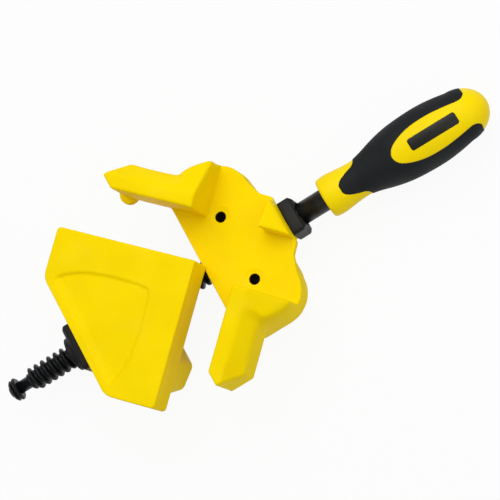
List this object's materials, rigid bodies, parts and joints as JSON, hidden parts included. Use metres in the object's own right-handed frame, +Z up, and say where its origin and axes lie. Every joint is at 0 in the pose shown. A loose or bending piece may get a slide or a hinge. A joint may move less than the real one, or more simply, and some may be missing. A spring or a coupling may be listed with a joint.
{
  "type": "corner clamp",
  "caption": "Bench corner clamp: a fixed jaw with square fences and a screw-driven V jaw hold two boards at a right angle, turned by a two-tone hand grip.",
  "frame": {"origin": "on the bench, midway between the two bench holes", "axes": "+X along the spindle towards the handle, +Y across the fences, +Z up from the bench"},
  "size_m": [0.3076, 0.134, 0.0555],
  "materials": {
    "jaw_moulding": "satin yellow moulding",
    "handle_plastic": "glossy yellow moulding",
    "soft_grip": "matte black soft overmould",
    "black_plastic": "matte black moulding",
    "dark_steel": "black oxide",
    "bright_steel": "plain ground steel"
  },
  "bodies": {
    "fixed_body": {"fixed_jaw": "jaw_moulding", "spindle_bearing": "black_plastic", "bearing_lock_pin": "bright_steel"},
    "screw": {"spindle": "dark_steel", "inner_thrust_washer": "bright_steel", "outer_thrust_washer": "bright_steel", "retaining_ring": "dark_steel", "stop_washer": "dark_steel", "end_clip": "dark_steel", "handle_core": "handle_plastic", "handle_grip": "soft_grip"},
    "jaw": {"movable_jaw": "jaw_moulding", "jaw_nut": "black_plastic", "nut_lock_pin": "bright_steel"}
  },
  "joints": [
    {"name": "spindle_turn", "type": "hinge", "parent": "fixed_body", "child": "screw", "pos_m": [0, 0, 0.018], "axis": [-1, 0, 0], "range_deg": [-2975, 2975]},
    {"name": "jaw_slide", "type": "slide", "parent": "fixed_body", "child": "jaw", "axis": [1, 0, 0], "range_m": [-0.035, 0.035]}
  ],
  "couplings": [
    {"joint": "spindle_turn", "follows": "jaw_slide", "rad_per_m": 1478.4}
  ]
}
